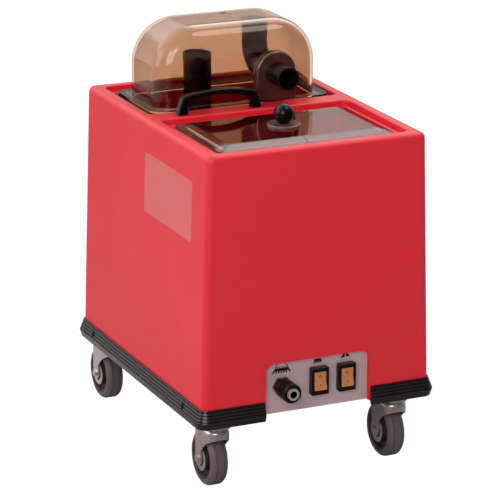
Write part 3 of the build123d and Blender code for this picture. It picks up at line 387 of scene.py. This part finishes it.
def piece(name: str, points: np.ndarray, faces: list, finish: Finish, body: str) -> None:
    """Makes a mesh object from arrays, dresses it and lets it ride on a body.

    Args:
        name: the piece's name.
        points: N by 3 places in metres.
        faces: corner numbers of each face.
        finish: its finish.
        body: the CAD body that it moves with.
    """
    mesh = bpy.data.meshes.new(name)
    mesh.from_pydata(points.tolist(), [], faces)
    mesh.update()
    made = bpy.data.objects.new(name, mesh)
    bpy.context.scene.collection.objects.link(made)
    WARDROBE.dress(made, finish)
    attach(made, body)
    LOG.info("piece %s: %d points, %d faces", name, len(points), len(faces))


def slab(outline: np.ndarray, origin: Vector, across: Vector, up: Vector, thick: float) -> Mesh:
    """Carries a flat outline along its plane's normal to make a thin closed slab.

    A corner (a, b) of the outline lies at origin + a across + b up. The normal is across x up, and the slab
    reaches from the plane to thick along it.

    Args:
        outline: N by 2 corners in metres, turning left.
        origin: the plane's zero point.
        across: the plane's first unit direction.
        up: the plane's second unit direction.
        thick: the slab's thickness in metres.

    Returns:
        The points and the faces.
    """
    flat = np.array(origin) + outline[:, :1] * np.array(across) + outline[:, 1:] * np.array(up)
    normal = np.array(across.cross(up))
    points = np.vstack([flat, flat + thick * normal])
    count = len(outline)
    ring = np.arange(count)
    after = (ring + 1) % count
    walls = np.stack([ring, after, after + count, ring + count], axis=1).tolist()
    return points, [ring[::-1].tolist(), (ring + count).tolist()] + walls


def join(parts: list[Mesh]) -> Mesh:
    """Puts several meshes' arrays into one.

    Args:
        parts: points and faces of each.

    Returns:
        All points and all faces, renumbered.
    """
    starts = np.cumsum([0] + [len(points) for points, _ in parts[:-1]])
    faces = []
    for start, (_, own) in zip(starts, parts):
        faces += [[corner + int(start) for corner in face] for face in own]
    return np.vstack([points for points, _ in parts]), faces


def stroke(start: tuple[float, float], end: tuple[float, float], width: float) -> np.ndarray:
    """Outline of a straight line with square ends: its two ends moved half a width to each side.

    Args:
        start: first end.
        end: other end.
        width: the line's width.

    Returns:
        Four corners, turning left.
    """
    line = np.array([start, end])
    way = (line[1] - line[0]) / np.linalg.norm(line[1] - line[0])
    side = width / 2 * np.array([-way[1], way[0]])
    return np.vstack([line - side, line[::-1] + side])


def ring_outline(radius: float, count: int = ROUND_STEPS) -> np.ndarray:
    """Corners of a circle: radius times the cosine and sine of even steps of a turn."""
    turn = np.linspace(0.0, 2.0 * math.pi, count, endpoint=False)
    return radius * np.stack([np.cos(turn), np.sin(turn)], axis=1)


def lathe(profile: np.ndarray, centre: Vector, along: Vector, count: int = ROUND_STEPS) -> Mesh:
    """Turns a closed profile around an axis.

    A profile point (r, a) at turn t lies at centre + a along + r (cos t first + sin t second), where first,
    second and along are square to each other and right handed.

    Args:
        profile: M by 2 radii and heights in metres, turning left.
        centre: the axis's zero point.
        along: the axis's unit direction.
        count: steps around.

    Returns:
        The points and the faces.
    """
    first = along.orthogonal().normalized()
    second = along.cross(first)
    turns = ring_outline(1.0, count)
    rays = turns[:, :1] * np.array(first) + turns[:, 1:] * np.array(second)
    points = np.array(centre) + profile[:, None, 1:] * np.array(along) + profile[:, None, :1] * rays[None]
    ring = np.arange(count)
    after = (ring + 1) % count
    row = np.arange(len(profile))[:, None] * count
    following = np.roll(row, -1, axis=0)
    faces = np.stack([row + ring, row + after, following + after, following + ring], axis=-1)
    return points.reshape(-1, 3), faces.reshape(-1, 4).tolist()


def strip(head: Vector, foot: Vector, rise: Vector, width: float, thick: float) -> Mesh:
    """Carries a flat rectangle along a straight line.

    A corner lies at an end of the line plus or minus half the width across, plus or minus half the thickness
    along the rise. Across is rise x the line's direction.

    Args:
        head: the line's first end in metres.
        foot: its other end.
        rise: unit direction of the thickness.
        width: the rectangle's width in metres.
        thick: its thickness in metres.

    Returns:
        The points and the faces.
    """
    across = np.array(rise.cross((foot - head).normalized())) * width / 2
    lift = np.array(rise) * thick / 2
    profile = np.array([-across - lift, across - lift, across + lift, lift - across])
    count = len(profile)
    ring = np.arange(count)
    after = (ring + 1) % count
    walls = np.stack([ring, after, after + count, ring + count], axis=1).tolist()
    points = np.vstack([np.array(head) + profile, np.array(foot) + profile])
    return points, walls + [ring[::-1].tolist(), (ring + count).tolist()]


def ring_band(inner: float, outer: float, low: float, high: float) -> np.ndarray:
    """Rectangular profile of a ring: inner to outer radius, low to high along the axis, turning left."""
    return np.array([[inner, low], [outer, low], [outer, high], [inner, high]])


@dataclass
class SpraySymbol:
    """A spray cone, cut off by the panel's edge, over a thick bar with teeth. All in millimetres."""

    x: float = -54.0
    line: float = 1.0
    cone_top: float = 186.6
    cone_foot: float = 179.0
    top_half: float = 4.6
    foot_left: float = 9.0
    foot_right: float = 10.2
    overhang: float = 0.6
    bar_z: float = 175.6
    bar_line: float = 4.2
    bar_left: float = 10.4
    bar_right: float = 11.4
    tooth_line: float = 2.6
    tooth_foot: float = 170.2
    tooth_slant: float = 0.5
    teeth: int = 5
    teeth_left: float = 7.2
    teeth_right: float = 8.2
    outer_inset: float = 0.4
    outer_drop: float = 0.6
    outer_left: float = 13.4
    outer_right: float = 14.0
    outer_lift: float = 0.8

    def outlines(self) -> list[np.ndarray]:
        """The symbol's straight strokes: the cone, the bar, the two outer teeth and those between."""
        x, top, foot, bar, low = self.x, self.cone_top, self.cone_foot, self.bar_z, self.tooth_foot
        base_left, base_right = x - self.foot_left - self.overhang, x + self.foot_right + self.overhang
        root_left, root_right = x - self.bar_left + self.outer_inset, x + self.bar_right - self.outer_inset
        root_z = bar - self.outer_drop
        lines = [stroke((x - self.top_half, top), (x - self.foot_left, foot), self.line),
                 stroke((x + self.top_half, top), (x + self.foot_right, foot), self.line),
                 stroke((base_left, foot), (base_right, foot), self.line),
                 stroke((x - self.bar_left, bar), (x + self.bar_right, bar), self.bar_line),
                 stroke((root_left, root_z), (x - self.outer_left, low), self.tooth_line),
                 stroke((root_right, root_z), (x + self.outer_right, low + self.outer_lift), self.tooth_line)]
        for step in np.linspace(-self.teeth_left, self.teeth_right, self.teeth):
            lines.append(stroke((x + step, bar), (x + step - self.tooth_slant, low), self.tooth_line))
        return lines


@dataclass
class BrushSymbol:
    """A brush: a thick back with close bristles. All in millimetres."""

    x: float = 2.2
    z: float = 180.2
    back_left: float = 5.4
    back_right: float = 5.8
    back_rise: float = 1.6
    back_line: float = 3.4
    bristles: int = 7
    bristle_line: float = 1.5
    root_half: float = 5.4
    root_rise: float = 1.0
    tip_half: float = 5.6
    tip_drop: float = 2.8

    def outlines(self) -> list[np.ndarray]:
        """The symbol's straight strokes: the back, and bristles that spread a little."""
        x, back, root, tip = self.x, self.z + self.back_rise, self.z + self.root_rise, self.z - self.tip_drop
        lines = [stroke((x - self.back_left, back), (x + self.back_right, back), self.back_line)]
        for share in np.linspace(-1.0, 1.0, self.bristles):
            start, end = (x + share * self.root_half, root), (x + share * self.tip_half, tip)
            lines.append(stroke(start, end, self.bristle_line))
        return lines


@dataclass
class NozzleSymbol:
    """A suction tool: two solid legs that widen to a foot. All in millimetres."""

    x: float = 45.4
    z: float = 179.8
    left_leg: Outline = ((-0.4, 6.4), (-3.4, 6.4), (-4.4, 3.0), (-7.4, 0.6), (-7.4, -0.4), (-1.2, -0.4))
    right_leg: Outline = ((0.8, 0.0), (7.0, 0.4), (7.0, 1.4), (4.6, 3.4), (3.8, 6.4), (0.8, 6.4))

    def outlines(self) -> list[np.ndarray]:
        """The two legs, whose corners turn left and are given from the symbol's middle."""
        middle = np.array([self.x, self.z])
        return [middle + np.array(leg) for leg in (self.left_leg, self.right_leg)]


@dataclass
class PanelPrint:
    """Black symbols printed on the control panel: a spray tool, a brush and a suction tool."""

    ink_mm: float = 0.12

    def build(self) -> None:
        """Lays each symbol's outlines on the panel's front face."""
        low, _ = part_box("control_panel")
        origin = Vector((0.0, low.y, 0.0))
        symbols = {"spray_symbol": SpraySymbol(), "brush_symbol": BrushSymbol(),
                   "nozzle_symbol": NozzleSymbol()}
        for name, symbol in symbols.items():
            parts = [slab(outline * MM, origin, RIGHT, UPWARD, self.ink_mm * MM)
                     for outline in symbol.outlines()]
            points, faces = join(parts)
            piece(name, points, faces, BLACK_INK_AND_SHADE, "machine")


@dataclass
class BlankLabel:
    """Pale blank film on the left side, a little askew."""

    film_mm: float = 0.15
    back_y: float = -4.2
    front_y: float = -171.2
    low_z: float = 361.0
    high_z: float = 447.4
    askew: float = 0.5
    lean_mm: float = 10.6
    corner_mm: float = 1.5
    nearly_zero: float = 1e-9

    def build(self) -> None:
        """Lays a rounded rectangle on the leaning side: x follows the side's straight lean.

        Each quarter of a small circle is pushed out to its own corner, by the signs of its coordinates.
        """
        base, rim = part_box("body_shell")
        lean = self.lean_mm * MM / (rim.z - base.z)
        slope = Vector((lean, 0.0, 1.0)).normalized()
        middle_z = (self.low_z + self.high_z) / 2
        middle_y = (self.back_y + self.front_y) / 2
        origin = Vector((base.x + lean * (middle_z * MM - base.z), middle_y * MM, middle_z * MM))
        turn = Matrix.Rotation(math.radians(self.askew), 3, "X")
        half = np.array([self.back_y - self.front_y, self.high_z - self.low_z]) / 2 - self.corner_mm
        arcs = ring_outline(self.corner_mm, SMALL_STEPS)
        signs = np.where(np.abs(arcs) < self.nearly_zero, 1.0, np.sign(arcs))
        outline = (arcs + signs * half) * MM
        points, faces = slab(outline, origin, turn @ -REARWARD, turn @ slope, self.film_mm * MM)
        piece("blank_label", points, faces, PALE_FILM, "machine")


@dataclass
class LidCreaseShade:
    """Dark strips down the lid's four slanted edges, in line with the knob: painted shade of the moulded
    creases.
    """

    width_mm: float = 1.3
    thick_mm: float = 0.3
    bevel_mm: float = 19.0
    fall_mm: float = 5.5

    def build(self) -> None:
        """Follows each bevel: a straight line from the flat top's edge down to the lip."""
        low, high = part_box("lid")
        middle = (low + high) / 2
        top = Vector((middle.x, middle.y, high.z))
        drop = UPWARD * self.fall_mm * MM
        parts = []
        for along in (RIGHT, -RIGHT, REARWARD, -REARWARD):
            reach = abs((high - middle).dot(along))
            foot = top - drop + along * reach
            head = top + along * (reach - self.bevel_mm * MM)
            rise = (foot - head).cross(UPWARD.cross(along)).normalized()
            parts.append(strip(head, foot, rise, self.width_mm * MM, self.thick_mm * MM))
        points, faces = join(parts)
        # painted shade: black strips over the creases, standing for how dark they look
        piece("lid_crease_shade", points, faces, BLACK_INK_AND_SHADE, "tank_lid")


@dataclass
class RockerMarks:
    """Off and on signs printed on the two halves of each rocker: a ring above and a bar below."""

    ink_mm: float = 0.1
    tilt: float = -7.0
    half_mm: float = 13.2
    dip_mm: float = 1.8
    front_mm: float = -4.7
    ring_mm: float = 2.2
    line_mm: float = 0.8
    bar_mm: float = 4.4

    def build(self) -> None:
        """Lays the signs on the two slanted faces, turned with the rocker about its pivot."""
        turn = Matrix.Rotation(math.radians(self.tilt), 3, "X")
        profile = ring_band(self.ring_mm - self.line_mm, self.ring_mm, 0.0, self.ink_mm) * MM
        bar = stroke((0.0, -self.bar_mm / 2), (0.0, self.bar_mm / 2), self.line_mm) * MM
        for name in ("pump", "vacuum"):
            joint = next(row for row in frame["joints"] if row["name"] == f"{name}_switch")
            pivot = Vector(joint["pos_m"])
            upper = pivot + turn @ Vector((0, self.front_mm, self.half_mm / 2)) * MM
            upper_rise = turn @ Vector((0, -self.dip_mm, self.half_mm)).normalized()
            lower = pivot + turn @ Vector((0, self.front_mm, -self.half_mm / 2)) * MM
            lower_rise = turn @ Vector((0, self.dip_mm, self.half_mm)).normalized()
            points, faces = join([lathe(profile, upper, RIGHT.cross(upper_rise), SMALL_STEPS),
                                  slab(bar, lower, RIGHT, lower_rise, self.ink_mm * MM)])
            piece(f"{name}_rocker_marks", points, faces, BLACK_INK_AND_SHADE, f"{name}_rocker")


@dataclass
class HubPlates:
    """Bright pressed rings on both faces of the dark wheel centres, slightly dished."""

    bore_mm: float = 11.5
    flat_mm: float = 13.0
    slope_mm: float = 16.0
    outer_mm: float = 18.0
    thick_mm: float = 0.55
    edge_mm: float = 0.1

    def build(self) -> None:
        """Turns the ring's section around each wheel's axis, on each face."""
        section = np.array([[self.bore_mm, 0.0], [self.outer_mm, 0.0], [self.outer_mm, self.edge_mm],
                            [self.slope_mm, self.thick_mm / 2], [self.flat_mm, self.thick_mm],
                            [self.bore_mm, self.thick_mm]]) * MM
        for caster in CASTERS:
            low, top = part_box(f"wheel_{caster}")
            middle = (low + top) / 2
            sides = ((low.x, -RIGHT), (top.x, RIGHT))
            parts = [lathe(section, Vector((x, middle.y, middle.z)), way) for x, way in sides]
            points, faces = join(parts)
            piece(f"hub_plates_{caster}", points, faces, ZINC_PLATE, f"roller_{caster}")


@dataclass
class CouplingBoreShade:
    """Black lining inside the coupling's socket, with a closed bottom: painted shade of the deep bore."""

    radius_mm: float = 5.2
    wall_mm: float = 0.3
    start_mm: float = 0.8
    end_mm: float = 21.8

    def build(self) -> None:
        """Turns the dark lining around the socket's axis and closes it with a disc."""
        low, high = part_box("coupling_body")
        mouth = Vector(((low.x + high.x) / 2, low.y, (low.z + high.z) / 2))
        wall = ring_band(self.radius_mm - self.wall_mm, self.radius_mm, self.start_mm, self.end_mm) * MM
        end = mouth + REARWARD * self.end_mm * MM
        disc = slab(ring_outline(self.radius_mm * MM), end, RIGHT, UPWARD, self.wall_mm * MM)
        points, faces = join([lathe(wall, mouth, REARWARD), disc])
        # painted shade: a black tube and disc that darken the bore
        piece("coupling_bore_shade", points, faces, BLACK_ABS, "machine")


@dataclass
class DomePlug:
    """Small dark plug let into the dome's top, near its rear edge, just under its skin."""

    x_mm: float = 10.8
    y_mm: float = 126.8
    radius_mm: float = 5.0
    thick_mm: float = 1.0
    sunk_mm: float = 0.05

    def build(self) -> None:
        """Lays a round slab just under the dome's top."""
        _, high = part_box("dome")
        foot = Vector((self.x_mm * MM, self.y_mm * MM, high.z - (self.sunk_mm + self.thick_mm) * MM))
        points, faces = slab(ring_outline(self.radius_mm * MM), foot, RIGHT, REARWARD, self.thick_mm * MM)
        piece("dome_plug", points, faces, BLACK_ABS, "dome_cover")


@dataclass(frozen=True)
class Lamp:
    """One square soft box: where it hangs and points, and its side, in metres, and its power in watts."""

    name: str
    place: Place
    aim: Place
    side: float
    watts: float

    def hang(self) -> None:
        """Makes the lamp and turns it to its aim."""
        data = bpy.data.lights.new(self.name, "AREA")
        data.shape = "SQUARE"
        data.size = self.side
        data.energy = self.watts
        box = bpy.data.objects.new(self.name, data)
        box.location = self.place
        box.rotation_mode = "QUATERNION"
        box.rotation_quaternion = (Vector(self.aim) - Vector(self.place)).to_track_quat("-Z", "Y")
        bpy.context.scene.collection.objects.link(box)


LAMPS = (
    Lamp("key_box", place=(-1.6, -2.2, 1.6), aim=(0.0, 0.0, 0.3), side=1.6, watts=44.0),
    Lamp("side_box", place=(-2.6, 0.4, 1.4), aim=(0.0, 0.0, 0.3), side=1.4, watts=14.0),
    Lamp("top_box", place=(0.75, -0.45, 2.25), aim=(0.0, 0.1, 0.5), side=0.8, watts=10.0),
    Lamp("back_box", place=(0.97, 1.07, 2.08), aim=(0.0, -0.1, 0.5), side=1.2, watts=8.0),
)


@dataclass
class Studio:
    """Pale floor, soft lamps, white surroundings and the camera of the photograph.

    Angles are in degrees, the lens in millimetres and other lengths in metres. Levels and gains are those of
    the light that comes from the surroundings. A span is a range along Y on the floor, or of a direction's
    part along X, Y or Z, over which a level or a gain changes.
    """

    azimuth: float = -24.62
    elevation: float = 17.25
    roll: float = 0.22
    distance: float = 4.1275
    target: Place = (-0.00215, 0.0, 0.2805)
    lens: float = 204.53
    clip_end: float = 100.0
    floor_half: float = 6.0
    paper_tone: str = "#d8d4d4"
    paper_share: float = 0.95
    paper_dimmed: float = 0.75
    dimmed_span: tuple[float, float] = (-0.5, 0.2)
    white_level: float = 1.04
    backdrop_level: float = 2.2
    front_level: float = 0.2
    back_level: float = 0.85
    depth_span: tuple[float, float] = (-0.4, 0.5)
    haze_gain: float = 0.65
    sky_gain: float = 1.9
    sky_span: tuple[float, float] = (0.31, 0.4)
    left_gain: float = 2.2
    left_span: tuple[float, float] = (-0.4, 0.1)
    inside_level: float = 1.6

    def eye(self, tree: bpy.types.NodeTree) -> bpy.types.NodeSocket:
        """Adds nodes that find the rays to the eye.

        Args:
            tree: the node tree.

        Returns:
            White for straight rays to the eye, the backdrop's level through clear parts, 0 for light.
        """
        path = add(tree, "ShaderNodeLightPath").outputs
        unlit = calc(tree, "LESS_THAN", path["Diffuse Depth"], HALF)
        looked = calc(tree, "MULTIPLY", path["Is Transmission Ray"], unlit)
        level = calc(tree, "MULTIPLY", looked, self.backdrop_level)
        straight = calc(tree, "MULTIPLY", path["Is Camera Ray"], self.white_level)
        return calc(tree, "MAXIMUM", straight, level)

    def paper(self) -> bpy.types.Material:
        """Pale paper that is white to the eye, with a faint shadow, and dim in mirrors at the front.

        Returns:
            The material.
        """
        made = bpy.data.materials.new("pale_paper")
        made.use_nodes = True
        tree = made.node_tree
        tree.nodes.clear()
        eye = self.eye(tree)
        share = calc(tree, "MULTIPLY", eye, self.paper_share, clamp=True)
        place = add(tree, "ShaderNodeTexCoord").outputs["Object"]
        depth = add(tree, "ShaderNodeSeparateXYZ", {0: place}).outputs["Y"]
        near = remap(tree, depth, self.dimmed_span, (self.paper_dimmed, 0.0))
        mirrored = add(tree, "ShaderNodeLightPath").outputs["Is Glossy Ray"]
        dimmed = calc(tree, "MULTIPLY", mirrored, near)
        tone = mix_colours(tree, dimmed, linear(self.paper_tone), linear(BLACK))
        paper = add(tree, "ShaderNodeBsdfDiffuse", {"Color": tone}).outputs[0]
        glow = add(tree, "ShaderNodeEmission", {"Color": linear(WHITE), "Strength": eye}).outputs[0]
        both = add(tree, "ShaderNodeMixShader", {0: share, 1: paper, 2: glow})
        add(tree, "ShaderNodeOutputMaterial", {"Surface": both.outputs[0]})
        return made

    def floor(self) -> None:
        """Lays the floor, a square of paper."""
        half = self.floor_half
        mesh = bpy.data.meshes.new("studio_floor")
        square = [(-half, -half, 0), (half, -half, 0), (half, half, 0), (-half, half, 0)]
        mesh.from_pydata(square, [], [(0, 1, 2, 3)])
        ground = bpy.data.objects.new("studio_floor", mesh)
        bpy.context.scene.collection.objects.link(ground)
        mesh.materials.append(self.paper())

    def world(self) -> None:
        """White to the eye, a white backdrop behind the object in mirrors, and a dim room in front of it."""
        made = bpy.data.worlds.new("studio_world")
        bpy.context.scene.world = made
        made.use_nodes = True
        tree = made.node_tree
        tree.nodes.clear()
        way = add(tree, "ShaderNodeTexCoord").outputs["Generated"]
        parts = add(tree, "ShaderNodeSeparateXYZ", {0: way}).outputs
        path = add(tree, "ShaderNodeLightPath").outputs
        level = remap(tree, parts["Y"], self.depth_span, (self.front_level, self.back_level), "SMOOTHSTEP")
        sky = remap(tree, parts["Z"], self.sky_span, (self.haze_gain, self.sky_gain))
        left = remap(tree, parts["X"], self.left_span, (self.left_gain, 1.0))
        mirrored = calc(tree, "MULTIPLY", sky, left)
        gains = {"Is Glossy Ray": mirrored, "Is Transmission Ray": self.inside_level}
        for kind, gain in gains.items():
            more = calc(tree, "MULTIPLY", level, gain)
            mixed = add(tree, "ShaderNodeMix", {"Factor": path[kind], "A": level, "B": more})
            level = mixed.outputs["Result"]
        eye = self.eye(tree)
        seen = calc(tree, "GREATER_THAN", eye, HALF)
        room = add(tree, "ShaderNodeBackground", {"Color": linear(WHITE), "Strength": level}).outputs[0]
        white = add(tree, "ShaderNodeBackground", {"Color": linear(WHITE), "Strength": eye}).outputs[0]
        both = add(tree, "ShaderNodeMixShader", {0: seen, 1: room, 2: white})
        add(tree, "ShaderNodeOutputWorld", {"Surface": both.outputs[0]})

    def camera(self) -> None:
        """Puts the camera at its azimuth, elevation, roll and distance from the target."""
        turn, rise = math.radians(self.azimuth), math.radians(self.elevation)
        back = Vector((math.sin(turn) * math.cos(rise), -math.cos(turn) * math.cos(rise), math.sin(rise)))
        data = bpy.data.cameras.new("camera")
        data.lens = self.lens
        data.clip_end = self.clip_end
        eye = bpy.data.objects.new("camera", data)
        eye.rotation_mode = "QUATERNION"
        level = (-back).to_track_quat("-Z", "Y")
        eye.rotation_quaternion = level @ Matrix.Rotation(math.radians(self.roll), 3, "Z").to_quaternion()
        eye.location = Vector(self.target) + back * self.distance
        bpy.context.scene.collection.objects.link(eye)
        bpy.context.scene.camera = eye

    def build(self) -> None:
        """Sets up the whole studio."""
        self.floor()
        self.world()
        for lamp in LAMPS:
            lamp.hang()
        self.camera()
        bpy.context.scene.view_settings.view_transform = "Standard"


def main() -> None:
    """Builds the classes in order."""
    logging.basicConfig(level=logging.INFO, format="%(name)s %(message)s")
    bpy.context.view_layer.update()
    WARDROBE.dress_nodes()
    for part in (PanelPrint(), RockerMarks(), CouplingBoreShade(), HubPlates(), BlankLabel(), LidCreaseShade(),
                 DomePlug(), Studio()):
        part.build()
        LOG.info("built %s", type(part).__name__)


if __name__ == "__main__":
    main()
